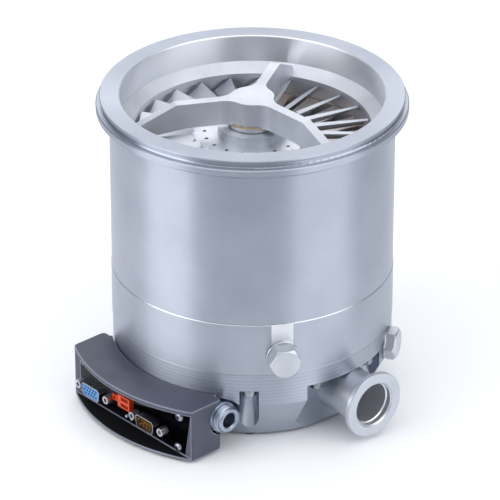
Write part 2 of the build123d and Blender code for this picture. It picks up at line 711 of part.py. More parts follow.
corner_w = math.sqrt(BOX_R**2 - BOX_HALF**2)
with BuildPart() as electronics_housing:
    with BuildSketch(Plane.XY.offset(BASE_Z)):
        with BuildLine():
            points = on_box(
                (BOX_HALF, corner_w),
                (BOX_HALF, BOX_CUT_W),
                (BOX_REAR_U, BOX_CUT_W),
                (BOX_REAR_U, math.sqrt(BOX_IN_R**2 - BOX_REAR_U**2)),
                (-BOX_REAR_U, math.sqrt(BOX_IN_R**2 - BOX_REAR_U**2)),
                (-BOX_REAR_U, BOX_CUT_W),
                (-BOX_HALF, BOX_CUT_W),
                (-BOX_HALF, corner_w),
            )
            Polyline(*points[:4])
            ThreePointArc(points[3], on_box((0, BOX_IN_R))[0], points[4])
            Polyline(*points[4:])
            ThreePointArc(points[7], on_box((0, BOX_R))[0], points[0])
        make_face()
    extrude(amount=BOX_TOP_Z - BASE_Z)
    corners = [
        e for e in electronics_housing.edges().filter_by(Axis.Z)
        if math.hypot(e.center().X, e.center().Y) > BOX_IN_R + 3
    ]
    fillet(corners, CORNER_R)
    # the lid and the sill stand out over the flat connector panel
    with BuildSketch(box_plane(PANEL_W, (OPEN_LOW_Z + OPEN_TOP_Z) / 2)):
        Rectangle(2 * BOX_HALF + 10, OPEN_TOP_Z - OPEN_LOW_Z)
    extrude(amount=20, mode=Mode.SUBTRACT)
    # opening for the panel, with room for the circuit board behind it
    with BuildSketch(box_plane(PANEL_W, (OPEN_LOW_Z + OPEN_TOP_Z) / 2)):
        with Locations(((OPEN_LEFT_U + OPEN_RIGHT_U) / 2, 0)):
            Rectangle(OPEN_RIGHT_U - OPEN_LEFT_U, OPEN_TOP_Z - OPEN_LOW_Z - 1.6)
    extrude(amount=-9, mode=Mode.SUBTRACT)
    # notch in the right end, round the side fitting
    with BuildSketch(side_plane(BOX_REAR_U, FIT_W, FIT_Z)):
        Circle(SIDE_FITTING_R + 1.2)
    extrude(amount=10, mode=Mode.SUBTRACT)
    # bosses behind the panel's corners take its screws
    for u, z in PANEL_SCREWS:
        with BuildSketch(box_plane(PANEL_W - PANEL_T, z, u)):
            Circle(3.4)
        extrude(amount=-7)
        with BuildSketch(box_plane(PANEL_W, z, u)):
            Circle(1.6)
        extrude(amount=-6, mode=Mode.SUBTRACT)
save(electronics_housing.part, "electronics_housing")

# ---------------------------------------------------------------- connector panel and its parts
PANEL_H = OPEN_TOP_Z - OPEN_LOW_Z - 1.6
PANEL_Z = (OPEN_LOW_Z + OPEN_TOP_Z) / 2
PANEL_U = (OPEN_LEFT_U + OPEN_RIGHT_U) / 2
BOARD_W = 76.0           # the board ends short of the screw bosses
BUS_U = -3.8             # the two-slot bus connector between the D connectors
BUS_Z = 17.4
BUS_W = 10.4
BUS_H = 8.0


def d_shape(width, height, corner):
    """The outline of a D connector, wide edge up, with rounded corners."""
    slope = height * math.tan(math.radians(10))
    with BuildSketch() as outline:
        with BuildLine():
            Polyline(
                (-width / 2, height / 2),
                (width / 2, height / 2),
                (width / 2 - slope, -height / 2),
                (-width / 2 + slope, -height / 2),
                close=True,
            )
        make_face()
        fillet(outline.vertices(), corner)
    return outline.sketch


D_W = 16.6
D_H = 8.3
D_STAND = 5.6            # how far a connector's shell stands out of the panel
shell_outline = d_shape(D_W, D_H, 2.2)
shell_hole = d_shape(D_W - 0.9, D_H - 0.9, 1.8)
insert_outline = d_shape(D_W - 0.94, D_H - 0.94, 1.78)

with BuildPart() as connector_panel:
    with BuildSketch(box_plane(PANEL_W, PANEL_Z, PANEL_U)):
        Rectangle(OPEN_RIGHT_U - OPEN_LEFT_U - 0.1, PANEL_H - 0.1)
    extrude(amount=-PANEL_T)
    for u, z in PANEL_SCREWS:
        with BuildSketch(box_plane(PANEL_W, z, u)):
            Circle(1.6)
        extrude(amount=-PANEL_T, mode=Mode.SUBTRACT)
    with BuildSketch(box_plane(PANEL_W, BUS_Z, BUS_U)):
        Rectangle(BUS_W, BUS_H)
    extrude(amount=-PANEL_T, mode=Mode.SUBTRACT)
    for u in (DE15_U, DE9_U):
        with BuildSketch(box_plane(PANEL_W, CONNECTOR_Z, u)):
            add(d_shape(D_W + 0.06, D_H + 0.06, 2.2))
        extrude(amount=-PANEL_T, mode=Mode.SUBTRACT)
        with BuildSketch(box_plane(PANEL_W, CONNECTOR_Z, u)):
            with Locations((-D_SUB_PITCH / 2, 0), (D_SUB_PITCH / 2, 0)):
                Circle(1.4)
        extrude(amount=-PANEL_T, mode=Mode.SUBTRACT)
save(connector_panel.part, "connector_panel")

# ---------------------------------------------------------------- connectors
for u, prefix, depth in ((DE15_U, "de15", 0.5), (DE9_U, "de9", 3.6)):
    place = box_plane(PANEL_W - PANEL_T, CONNECTOR_Z, u)
    with BuildPart() as shell:
        with BuildSketch(place):
            add(shell_outline)
            add(shell_hole, mode=Mode.SUBTRACT)
        extrude(amount=PANEL_T + D_STAND)
    save(shell.part, f"{prefix}_shell")
    with BuildPart() as insert:
        with BuildSketch(place):
            add(insert_outline)
        extrude(amount=PANEL_T + D_STAND - depth)
    save(insert.part, f"{prefix}_insert")

with BuildPart() as bus_connector:
    with BuildSketch(box_plane(PANEL_W - PANEL_T, BUS_Z, BUS_U)):
        Rectangle(BUS_W - 0.06, BUS_H - 0.06)
    extrude(amount=PANEL_T + 3.6)
    # two keyed slots, one above the other
    with BuildSketch(box_plane(PANEL_W + 3.6, BUS_Z, BUS_U)):
        with Locations((0.8, 2.0), (0.8, -2.0)):
            Rectangle(BUS_W - 4.0, 2.2)
    extrude(amount=-3.0, mode=Mode.SUBTRACT)
save(bus_connector.part, "bus_connector")

with BuildPart() as connector_standoffs:
    for u in (DE15_U, DE9_U):
        with BuildSketch(box_plane(PANEL_W, CONNECTOR_Z, u)):
            with Locations((-D_SUB_PITCH / 2, 0), (D_SUB_PITCH / 2, 0)):
                RegularPolygon(2.4, 6, major_radius=False)
        extrude(amount=4.8)
        with BuildSketch(box_plane(PANEL_W + 4.8, CONNECTOR_Z, u)):
            with Locations((-D_SUB_PITCH / 2, 0), (D_SUB_PITCH / 2, 0)):
                Circle(1.3)
        extrude(amount=-3.0, mode=Mode.SUBTRACT)
        with BuildSketch(box_plane(PANEL_W, CONNECTOR_Z, u)):
            with Locations((-D_SUB_PITCH / 2, 0), (D_SUB_PITCH / 2, 0)):
                Circle(1.38)
        extrude(amount=-PANEL_T)
save(connector_standoffs.part, "connector_standoffs")

with BuildPart() as panel_screws:
    for u, z in PANEL_SCREWS:
        with BuildSketch(box_plane(PANEL_W, z, u)):
            Circle(1.58)
        extrude(amount=-5)
        with BuildSketch(box_plane(PANEL_W, z, u)):
            Circle(2.9)
        extrude(amount=1.9, taper=14)
save(panel_screws.part, "panel_screws")

with BuildPart() as circuit_board:
    with BuildSketch(box_plane(PANEL_W - PANEL_T, PANEL_Z, PANEL_U)):
        Rectangle(BOARD_W, PANEL_H - 1.0)
    extrude(amount=-1.6)
save(circuit_board.part, "circuit_board")

# ---------------------------------------------------------------- side fitting
FIT_NUT_T = 5.0
FIT_LEN = 10.6
with BuildPart() as side_fitting:
    with BuildSketch(side_plane(BOX_REAR_U, FIT_W, FIT_Z)):
        Circle(SIDE_FITTING_R)
    extrude(amount=FIT_NUT_T)
    with BuildSketch(side_plane(BOX_REAR_U + FIT_NUT_T, FIT_W, FIT_Z)):
        Circle(SIDE_FITTING_R - 1.0)
    extrude(amount=1.6)
    with BuildSketch(side_plane(BOX_REAR_U + FIT_NUT_T + 1.6, FIT_W, FIT_Z)):
        Circle(SIDE_FITTING_R - 1.8)
    extrude(amount=FIT_LEN - FIT_NUT_T - 1.6, taper=3)
    with BuildSketch(side_plane(BOX_REAR_U + FIT_LEN, FIT_W, FIT_Z)):
        Circle(4.6)
    extrude(amount=-9.0, mode=Mode.SUBTRACT)
save(side_fitting.part, "side_fitting")
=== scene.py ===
# %% [markdown]
# # A turbomolecular vacuum pump
#
# The pump is a tall round housing of turned aluminium. Under the wide flange at its top a
# bladed rotor turns at some tens of thousands of turns a minute, below a three-arm star that
# carries its upper bearing. An arc-shaped box of electronics hugs the base, and a stub with a
# small clamp flange leads the gas away. The imported CAD model gives every shape that has to fit
# something. This lesson gives it light, finishes and the small parts a CAD model leaves plain.
#
# The first cell loads that frame and keeps its box.

# %% Load the frame
import json
import math

import bmesh
import bpy
from mathutils import Matrix, Vector


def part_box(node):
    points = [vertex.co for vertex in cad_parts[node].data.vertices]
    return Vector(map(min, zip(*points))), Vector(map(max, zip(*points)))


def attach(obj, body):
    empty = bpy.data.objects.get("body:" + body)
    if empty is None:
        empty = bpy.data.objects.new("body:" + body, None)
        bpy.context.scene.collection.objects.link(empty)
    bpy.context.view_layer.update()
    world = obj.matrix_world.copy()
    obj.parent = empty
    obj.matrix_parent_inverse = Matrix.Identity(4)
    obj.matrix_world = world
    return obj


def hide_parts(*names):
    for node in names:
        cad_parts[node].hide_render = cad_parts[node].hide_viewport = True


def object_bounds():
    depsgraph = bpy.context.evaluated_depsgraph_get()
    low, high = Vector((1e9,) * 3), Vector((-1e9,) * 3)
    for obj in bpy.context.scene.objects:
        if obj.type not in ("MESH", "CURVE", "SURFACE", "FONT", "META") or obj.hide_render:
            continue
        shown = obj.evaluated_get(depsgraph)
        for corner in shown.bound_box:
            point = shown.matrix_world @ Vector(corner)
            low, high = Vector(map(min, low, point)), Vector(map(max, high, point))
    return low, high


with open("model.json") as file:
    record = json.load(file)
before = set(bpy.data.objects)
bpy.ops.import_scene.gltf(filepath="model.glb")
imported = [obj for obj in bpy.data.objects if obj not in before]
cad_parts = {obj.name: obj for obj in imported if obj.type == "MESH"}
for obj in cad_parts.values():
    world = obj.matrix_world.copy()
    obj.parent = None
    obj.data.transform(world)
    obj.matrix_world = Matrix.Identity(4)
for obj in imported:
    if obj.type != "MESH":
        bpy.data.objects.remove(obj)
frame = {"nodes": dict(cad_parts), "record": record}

cad_box = [list(corner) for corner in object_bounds()]
nodes = frame["nodes"]
print("size in mm:", [round((b - a) * 1000, 1) for a, b in zip(*cad_box)])

# %% [markdown]
# The camera is a long lens, a little over two metres away and looking down at the pump from
# about 28 degrees, as in a catalogue. A long lens keeps the upright sides nearly
# parallel. It needs no shift, so the pump stays in the middle from every other side as well.

# %% Camera
MM = 0.001
pump_middle = Vector((0, 0, cad_box[1][2] / 2))
view_distance = 2.167                    # from the camera to the pump's middle, in metres
view_height = math.radians(28.25)        # how far the camera stands above the horizontal
look_down = math.radians(28.46)          # a little more than that, so the pump sits in the frame
look_left = math.radians(0.19)

camera_data = bpy.data.cameras.new("long_lens")
camera_data.lens = 266.7
camera_data.sensor_width = 36
camera_data.clip_end = 20
camera = bpy.data.objects.new("camera", camera_data)
bpy.context.scene.collection.objects.link(camera)
camera.location = pump_middle + view_distance * Vector(
    (0.0026 * math.cos(view_height), -math.cos(view_height), math.sin(view_height))
)
camera.rotation_euler = (math.pi / 2 - look_down, 0, look_left)
bpy.context.scene.camera = camera
print("camera at", [round(v, 3) for v in camera.location])

# %% [markdown]
# Bare metal shows what stands round it, so a studio lights it with large soft boxes and leaves
# gaps between them. Two tall boxes draw the two bright bands down the housing, the gap between
# them leaves its darker middle, and a wide box overhead opens up the flange and the blades. The
# floor is plain white card, seamless and a little uneven in its gloss, as painted board is.

# %% Helpers for colours and materials
def hex_colour(text, alpha=1.0):
    """An sRGB hex colour as the linear numbers that Blender works in."""
    parts = [int(text[i:i + 2], 16) / 255 for i in (1, 3, 5)]
    linear = [p / 12.92 if p <= 0.04045 else ((p + 0.055) / 1.055) ** 2.4 for p in parts]
    return (*linear, alpha)


def add(material, kind, settings=None, links=None):
    """Adds one node with its settings and the outputs that feed it, and returns it."""
    tree = material.node_tree
    node = tree.nodes.new("ShaderNode" + kind)
    for name, value in (settings or {}).items():
        if isinstance(name, str) and hasattr(node, name):
            setattr(node, name, value)
        else:
            node.inputs[name].default_value = value
    for name, output in (links or {}).items():
        tree.links.new(output, node.inputs[name])
    return node


def new_material(name, colour, roughness, metallic=0.0, ior=None):
    """An empty finish: one Principled shader with its plain numbers set."""
    material = bpy.data.materials.new(name)
    material.use_nodes = True
    shader = material.node_tree.nodes["Principled BSDF"]
    shader.inputs["Base Color"].default_value = hex_colour(colour)
    shader.inputs["Roughness"].default_value = roughness
    shader.inputs["Metallic"].default_value = metallic
    if ior:
        shader.inputs["IOR"].default_value = ior
    material.diffuse_color = hex_colour(colour)
    return material, shader


# %% World, soft boxes and floor
world = bpy.data.worlds.new("studio")
bpy.context.scene.world = world
world.use_nodes = True
world.node_tree.nodes["Background"].inputs["Color"].default_value = hex_colour("#E4E9F2")
world.node_tree.nodes["Background"].inputs["Strength"].default_value = 0.38
bpy.context.scene.view_settings.view_transform = "Standard"


def soft_box(name, azimuth, height, distance, size, power, tint="#FFFFFF"):
    """A rectangular light that faces the pump's middle."""
    data = bpy.data.lights.new(name, "AREA")
    data.shape = "RECTANGLE"
    data.size, data.size_y = size
    data.energy = power
    data.color = hex_colour(tint)[:3]
    box = bpy.data.objects.new(name, data)
    angle = math.radians(azimuth)
    box.location = (distance * math.cos(angle), distance * math.sin(angle), height)
    aim = pump_middle - box.location
    box.rotation_euler = aim.to_track_quat("-Z", "Y").to_euler()
    box.visible_camera = False
    bpy.context.scene.collection.objects.link(box)
    return box


# name, azimuth, height, distance, size and power; the azimuth runs from +X towards +Y
soft_box("left_box", -155, 0.35, 0.95, (0.72, 0.9), 6)
soft_box("right_box", -36, 0.35, 0.95, (0.9, 0.9), 5)
soft_box("back_box", 92, 1.0, 1.5, (1.8, 0.9), 7)
soft_box("top_box", -90, 2.0, 0.1, (3.6, 3.6), 48)

floor_paint, shader = new_material("white_card", "#F4F5F7", 0.6)
place = add(floor_paint, "TexCoord").outputs["Object"]
speckle = add(floor_paint, "TexNoise", {"Scale": 900.0, "Detail": 2.0}, {"Vector": place})
gloss = add(floor_paint, "MapRange", {"To Min": 0.55, "To Max": 0.65},
            {"Value": speckle.outputs["Fac"]})
floor_paint.node_tree.links.new(gloss.outputs["Result"], shader.inputs["Roughness"])
# painted light: the card is painted brightest where the pump stands and greyer a step away from
# it, a painted pool of light and its falloff
from_pump = add(floor_paint, "VectorMath", {"operation": "DISTANCE", 1: (0, 0.22, 0)}, {0: place})
painted_falloff = add(floor_paint, "MapRange",
                {"interpolation_type": "SMOOTHSTEP", "From Min": 0.38, "From Max": 0.85},
                {"Value": from_pump.outputs["Value"]})
painted_pool_colour = add(floor_paint, "Mix",
                  {"data_type": "RGBA", 6: hex_colour("#F6F7F9"), 7: hex_colour("#A4A9B3")},
                  {0: painted_falloff.outputs["Result"]})
floor_paint.node_tree.links.new(painted_pool_colour.outputs[2], shader.inputs["Base Color"])
bpy.ops.mesh.primitive_plane_add(size=60)
floor = bpy.context.object
floor.name = "floor"
floor.data.materials.append(floor_paint)

# %% [markdown]
# ## Turned metal
#
# The housings were machined on a lathe from aluminium. The tool leaves a fine spiral that runs
# round the part, so the surface scatters light up and down but hardly sideways. That is why
# the highlights stand as upright bands. One pattern gives this on cylinders, cones and faces
# alike: noise that depends on height and radius only, so every line closes round the axis.
# The real lines are about 0.15 mm apart. They are drawn 0.7 mm apart here, so that they show.

# %% Turned finish
def axis_coordinates(material, centre=(0, 0, 0), turn=(0, 0, 0)):
    """Height along a lathe's axis and radius from it, in metres, for a part turned there."""
    place = add(material, "TexCoord")
    moved = add(material, "Mapping",
                {"vector_type": "TEXTURE", "Location": centre, "Rotation": turn},
                {"Vector": place.outputs["Object"]})
    split = add(material, "SeparateXYZ", links={"Vector": moved.outputs["Vector"]})
    flat = add(material, "CombineXYZ", links={"X": split.outputs["X"], "Y": split.outputs["Y"]})
    radius = add(material, "VectorMath", {"operation": "LENGTH"}, {0: flat.outputs["Vector"]})
    return moved.outputs["Vector"], split.outputs["Z"], radius.outputs["Value"]


def turned_finish(name, light, dark, roughness, line_mm, depth_mm, centre=(0, 0, 0),
                  turn=(0, 0, 0), groove_mm=0.0, bore=0.0):
    """Metal from a lathe: lines round an axis, a slow drift of tone from handling, and painted
    light inside a given radius.
    """
    material, shader = new_material(name, light, roughness, metallic=1.0)
    link = material.node_tree.links.new
    place, height, radius = axis_coordinates(material, centre, turn)
    along = add(material, "Math", {"operation": "ADD"}, {0: height, 1: radius})
    lines = add(material, "TexNoise",
                {"noise_dimensions": "1D", "Detail": 3.0, "Roughness": 0.65,
                 "Scale": 1 / (line_mm * MM)},
                {"W": along.outputs["Value"]})
    drift = add(material, "TexNoise", {"Scale": 24.0, "Detail": 4.0}, {"Vector": place})
    mixed = add(material, "Math", {"operation": "MULTIPLY_ADD", 1: 0.35},
                {0: lines.outputs["Fac"], 2: drift.outputs["Fac"]})
    tone = add(material, "ValToRGB", links={"Fac": mixed.outputs["Value"]})
    for stop, where, colour in zip(tone.color_ramp.elements, (0.35, 0.95), (dark, light)):
        stop.position, stop.color = where, hex_colour(colour)
    # inside the given radius the colour is painted pale: painted light, a painted reflection of
    # bright surroundings
    inside = add(material, "Math", {"operation": "LESS_THAN", 1: bore}, {0: radius})
    colour = add(material, "Mix", {"data_type": "RGBA", 7: hex_colour("#EEF0F4")},
                 {0: inside.outputs["Value"], 6: tone.outputs["Color"]})
    link(colour.outputs[2], shader.inputs["Base Color"])
    satin = add(material, "MapRange", {"From Min": 0.3, "From Max": 0.7,
                                       "To Min": roughness - 0.05, "To Max": roughness + 0.06},
                {"Value": lines.outputs["Fac"]})
    link(satin.outputs["Result"], shader.inputs["Roughness"])
    relief = lines.outputs["Fac"]
    if groove_mm:
        wave = add(material, "Math", {"operation": "MULTIPLY", 1: math.tau / (groove_mm * MM)},
                   {0: along.outputs["Value"]})
        wave = add(material, "Math", {"operation": "SINE"}, {0: wave.outputs["Value"]})
        edge = add(material, "Math", {"operation": "POWER", 1: 6.0}, {0: wave.outputs["Value"]})
        # painted shade: each groove is painted a shade darker than the land beside it
        shade = add(material, "Math", {"operation": "MULTIPLY", 1: 0.34},
                    {0: edge.outputs["Value"]})
        colour = add(material, "Mix", {"data_type": "RGBA", 7: hex_colour("#8A91A0")},
                     {0: shade.outputs["Value"], 6: colour.outputs[2]})
        link(colour.outputs[2], shader.inputs["Base Color"])
        relief = add(material, "Math", {"operation": "MULTIPLY_ADD", 1: -1.6},
                     {0: edge.outputs["Value"], 2: relief}).outputs["Value"]
    bump = add(material, "Bump", {"Strength": 0.5, "Distance": depth_mm * MM}, {"Height": relief})
    link(bump.outputs["Normal"], shader.inputs["Normal"])
    if turn == (0, 0, 0):
        # the lines scatter light along the pump's axis more than round it
        around = add(material, "Tangent", {"direction_type": "RADIAL", "axis": "Z"})
        link(around.outputs["Tangent"], shader.inputs["Tangent"])
        shader.inputs["Anisotropic"].default_value = 0.85
        shader.inputs["Anisotropic Rotation"].default_value = 0.25
    return material


# the long inlet housing: raw aluminium, fine satin turning
# inside the bore the wall is painted pale: a painted reflection of the lit interior
bore_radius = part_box("bearing_star")[1].x + 0.6 * MM
housing_aluminium = turned_finish("turned_aluminium", "#B6BBC6", "#A2A8B5", 0.34, 0.7, 0.012,
                                  bore=bore_radius)
# on the ring under it, the flat behind each plug was milled a little below the turned face, and
# inside that radius it is painted pale: a painted highlight
flat_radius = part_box("middle_ring")[1].x - 0.1 * MM
ring_aluminium = turned_finish("ring_aluminium", "#B6BBC6", "#A2A8B5", 0.34, 0.7, 0.012,
                               bore=flat_radius)
# the base was cut with a coarser feed; each 4.4 mm wave of the pattern draws two fine grooves
base_aluminium = turned_finish("grooved_aluminium", "#B6BCC7", "#A2A9B6", 0.36, 0.9, 0.035,
                               groove_mm=4.4)
print("turned finishes:", housing_aluminium.name, base_aluminium.name)

# %% [markdown]
# ## Milled metal
#
# The star in the inlet and the cover under the base are milled. A milling cutter turns as it
# travels, so it leaves overlapping arcs, brighter and less even than a lathe's lines. A ring
# pattern bent by a little noise looks like those arcs. The rotor is milled from one solid
# forging with a ball-nosed cutter, and its long passes run out along each blade.

# %% Milled and bladed finishes
def milled_finish(name, light, dark, roughness, pass_mm, depth_mm, swirl=2.0):
    """Metal from a mill: broad overlapping passes of a turning cutter."""
    material, shader = new_material(name, light, roughness, metallic=1.0)
    link = material.node_tree.links.new
    place = add(material, "TexCoord").outputs["Object"]
    # a wave texture at scale 1 repeats about every 0.31 m
    passes = add(material, "TexWave",
                 {"wave_type": "RINGS", "rings_direction": "Z", "Scale": 0.31 / (pass_mm * MM),
                  "Distortion": swirl, "Detail": 2.0, "Detail Scale": 1.5}, {"Vector": place})
    grain = add(material, "TexNoise", {"Scale": 320.0, "Detail": 3.0}, {"Vector": place})
    drift = add(material, "TexNoise", {"Scale": 45.0, "Detail": 3.0}, {"Vector": place})
    tone = add(material, "ValToRGB", links={"Fac": drift.outputs["Fac"]})
    for stop, where, colour in zip(tone.color_ramp.elements, (0.3, 0.7), (dark, light)):
        stop.position, stop.color = where, hex_colour(colour)
    link(tone.outputs["Color"], shader.inputs["Base Color"])
    satin = add(material, "MapRange", {"To Min": roughness - 0.06, "To Max": roughness + 0.08},
                {"Value": grain.outputs["Fac"]})
    link(satin.outputs["Result"], shader.inputs["Roughness"])
    height = add(material, "Math", {"operation": "MULTIPLY_ADD", 1: 0.4},
                 {0: grain.outputs["Fac"], 2: passes.outputs["Fac"]})
    bump = add(material, "Bump", {"Strength": 0.35, "Distance": depth_mm * MM},
               {"Height": height.outputs["Value"]})
    link(bump.outputs["Normal"], shader.inputs["Normal"])
    return material


star_aluminium = milled_finish("milled_aluminium", "#D9DCE2", "#C8CCD4", 0.5, 1.6, 0.006)
rotor_alloy = milled_finish("rotor_aluminium", "#D9DCE2", "#C4C8D0", 0.45, 1.1, 0.004, swirl=4.0)
stator_alloy = milled_finish("stator_aluminium", "#E2D9D5", "#CFC5C0", 0.45, 1.1, 0.004, swirl=4.0)
print("milled finishes:", star_aluminium.name, rotor_alloy.name, stator_alloy.name)

# %% [markdown]
# ## Steel, nickel and bronze
#
# The backing port is stainless steel, turned about its own axis, which leans away from the
# pump's. Its lines must follow that axis, so the pattern is centred and turned to it. Plugs,
# washers, screws and connector shells are small turned, rolled or plated parts. A fine grain
# and uneven gloss is all that shows on them.

# %% Port axis and small metals
mounts = {m["name"]: m for m in frame["record"]["mounts"]}
port_axis = Vector(mounts["backing_rim"]["axis"])
port_face = Vector(mounts["backing_rim"]["pos_m"])
port_turn = port_axis.to_track_quat("Z", "Y").to_euler()
# its bore is painted pale as well: a painted reflection
port_steel = turned_finish("port_steel", "#CFD3DA", "#B8BDC7", 0.44, 0.8, 0.02,
                           centre=tuple(port_face), turn=tuple(port_turn),
                           bore=(mounts["backing_bore"]["dims"]["r_mm"] + 0.3) * MM)


def grained_finish(name, light, dark, roughness, grain_mm=0.5, depth_mm=0.01, ior=None,
                   spread=0.08, coat=0.0):
    """Fine grain, uneven gloss and a slight drift of colour. An IOR is given to all but metals."""
    material, shader = new_material(name, light, roughness, metallic=0.0 if ior else 1.0, ior=ior)
    link = material.node_tree.links.new
    place = add(material, "TexCoord").outputs["Object"]
    grain = add(material, "TexNoise", {"Scale": 1 / (grain_mm * MM), "Detail": 3.0},
                {"Vector": place})
    drift = add(material, "TexNoise", {"Scale": 60.0, "Detail": 2.0}, {"Vector": place})
    tone = add(material, "ValToRGB", links={"Fac": drift.outputs["Fac"]})
    for stop, where, colour in zip(tone.color_ramp.elements, (0.3, 0.7), (dark, light)):
        stop.position, stop.color = where, hex_colour(colour)
    link(tone.outputs["Color"], shader.inputs["Base Color"])
    satin = add(material, "MapRange",
                {"From Min": 0.3, "From Max": 0.7, "To Min": max(roughness - spread, 0.03),
                 "To Max": min(roughness + spread, 1.0)}, {"Value": grain.outputs["Fac"]})
    link(satin.outputs["Result"], shader.inputs["Roughness"])
    bump = add(material, "Bump", {"Strength": 0.4, "Distance": depth_mm * MM},
               {"Height": grain.outputs["Fac"]})
    link(bump.outputs["Normal"], shader.inputs["Normal"])
    shader.inputs["Coat Weight"].default_value = coat
    return material


plug_steel = grained_finish("plug_steel", "#D2D5DA", "#BFC3CA", 0.4)
washer_steel = grained_finish("washer_steel", "#C9CCD1", "#B0B4BB", 0.27)
screw_steel = grained_finish("screw_steel", "#A9ACB3", "#868A92", 0.3, grain_mm=0.35)
shell_steel = grained_finish("shell_steel", "#C8CACE", "#B2B4B8", 0.22)      # tin-plated sheet
fitting_nickel = grained_finish("nickel_fitting", "#B3BCCB", "#929CAD", 0.32, grain_mm=0.4)
magnet_nickel = grained_finish("magnet_nickel", "#B4B2AA", "#8E8C86", 0.2)
bearing_steel = grained_finish("bearing_steel", "#B9BABD", "#9A9B9F", 0.15)
collar_bronze = grained_finish("collar_bronze", "#BFA98C", "#9C8261", 0.32, grain_mm=0.4)
contact_gold = grained_finish("contact_gold", "#E8C266", "#C79A3C", 0.24, grain_mm=0.3)
print("small metals:", [m.name for m in (plug_steel, screw_steel, fitting_nickel, contact_gold)])

# %% [markdown]
# ## Coated, moulded and fibrous parts
#
# The electronics box is cast aluminium under an anthracite powder coat. Powder melts into a
# skin with a faint orange-peel texture, about a millimetre from bump to bump. Its eased edges
# catch the light, and that is painted on as a lighter colour along them: a painted highlight.
# The connector panel is black sheet. The plug inserts are glossy mouldings, and the feet and
# the seal are rubber. Inside, where only an opened pump shows them, are carbon fibre, windings,
# felt and ceramic, so each of those gets its own look.

# %% Coats, plastics, rubber and inner parts
# name, light and dark tone, roughness, then the size of the grain in mm and the usual IOR
box_coat = grained_finish("anthracite_coat", "#484C5D", "#404454", 0.5, grain_mm=1.0,
                          depth_mm=0.05, ior=1.5)
# a lighter, glossier coat for the eased edges: a painted highlight
edge_highlight_paint = grained_finish("painted_highlight_on_edge", "#7C8192", "#686D7E", 0.34, grain_mm=1.0,
                           depth_mm=0.02, ior=1.5)
# painted shade: near black for the sill under the panel, which lies in shade
painted_sill_shade = grained_finish("painted_shade_on_sill", "#0B0B10", "#07070B", 0.6, grain_mm=1.0,
                            depth_mm=0.02, ior=1.25)
# the panel's black sheet; the same colour darkens the socket holes as painted shade
black_panel_and_hole_shade = grained_finish("black_panel", "#14151A", "#0E0F13", 0.5, grain_mm=0.5,
                             depth_mm=0.02, ior=1.4)
blue_plastic = grained_finish("blue_plastic", "#5C9AD6", "#4C8ACA", 0.35, grain_mm=0.8, ior=1.5)
brown_plastic = grained_finish("brown_plastic", "#57351F", "#432817", 0.4, grain_mm=0.8, ior=1.5)
orange_plastic = grained_finish("orange_plastic", "#E24A22", "#C93D19", 0.38, grain_mm=0.8,
                                ior=1.5)
seal_rubber = grained_finish("seal_rubber", "#2A2A2B", "#1C1C1D", 0.7, grain_mm=0.6, ior=1.52)
board_green = grained_finish("board_green", "#1F5A3A", "#18482E", 0.35, grain_mm=0.9, ior=1.55)
winding_pack = grained_finish("winding_pack", "#A8683A", "#7C4526", 0.35, grain_mm=1.1,
                              depth_mm=0.2, ior=1.5)
drum_carbon = grained_finish("carbon_fibre", "#2B2C2F", "#141416", 0.35, grain_mm=1.5,
                             depth_mm=0.03, ior=1.55, coat=0.4)
ball_ceramic = grained_finish("bearing_ceramic", "#3A3B3D", "#2C2D2F", 0.12, ior=2.0)
cage_resin = grained_finish("cage_resin", "#8A5B33", "#6E4526", 0.5, grain_mm=0.7, ior=1.55)
wick_felt = grained_finish("felt", "#CFC8B8", "#AFA792", 0.95, grain_mm=0.6, depth_mm=0.3,
                           ior=1.5)

finish_of_slot = {
    "turned_aluminium": housing_aluminium, "grooved_aluminium": base_aluminium,
    "milled_aluminium": star_aluminium, "rotor_aluminium": rotor_alloy, "port_steel": port_steel,
    "plug_steel": plug_steel, "washer_steel": washer_steel, "screw_steel": screw_steel,
    "seal_rubber": seal_rubber, "anthracite_coat": box_coat, "black_panel": black_panel_and_hole_shade,
    "shell_steel": shell_steel, "blue_plastic": blue_plastic, "brown_plastic": brown_plastic,
    "orange_plastic": orange_plastic, "board_green": board_green, "nickel_fitting": fitting_nickel,
    "magnet_nickel": magnet_nickel, "winding_pack": winding_pack, "carbon_fibre": drum_carbon,
    "bearing_steel": bearing_steel, "bearing_ceramic": ball_ceramic, "cage_resin": cage_resin,
    "felt": wick_felt,
}

# %% Give every CAD node its finish
for subpart in frame["record"]["subparts"]:
    mesh = nodes[subpart["node"]].data
    mesh.materials.clear()
    mesh.materials.append(finish_of_slot[subpart["material_slot"]])
nodes["middle_ring"].data.materials[0] = ring_aluminium

# %% [markdown]
# ## Modelling the small parts
#
# The small parts round the pump are all made the same way: one is modelled at the origin,
# standing upright, then copies of it are set where the CAD model has its plain stand-in. Most
# are turned parts. A disc whose face is pulled up and scaled, ring after ring, follows a
# lathe's profile and stays closed, which a spin about a loose outline doesn't promise.

# %% Helpers for modelling
box_out = Vector(mounts["de15_socket"]["axis"])          # the way the connector panel faces
box_right = Vector((-box_out.y, box_out.x, 0))
up = Vector((0, 0, 1))


def upright(origin, along, side):
    """A matrix that stands a part's Z along one direction, with its X along another."""
    matrix = Matrix((side, along.cross(side), along)).transposed().to_4x4()
    matrix.translation = origin
    return matrix


def on_panel(u, z, w):
    """The place on the connector panel, u to the right of its middle, z up and w out, in mm."""
    return upright((box_right * u + box_out * w + up * z) * MM, box_out, box_right)


def pick(piece, kind, test):
    """In edit mode, selects only the vertices or faces whose middle passes a test."""
    bpy.ops.mesh.select_mode(type=kind)
    mesh = bmesh.from_edit_mesh(piece.data)
    for part in (*mesh.verts, *mesh.edges, *mesh.faces):
        part.select = False
    for part in mesh.verts if kind == "VERT" else mesh.faces:
        middle = part.co if kind == "VERT" else part.calc_center_median()
        part.select_set(bool(test(middle / MM)))
    mesh.select_flush_mode()
    bmesh.update_edit_mesh(piece.data)


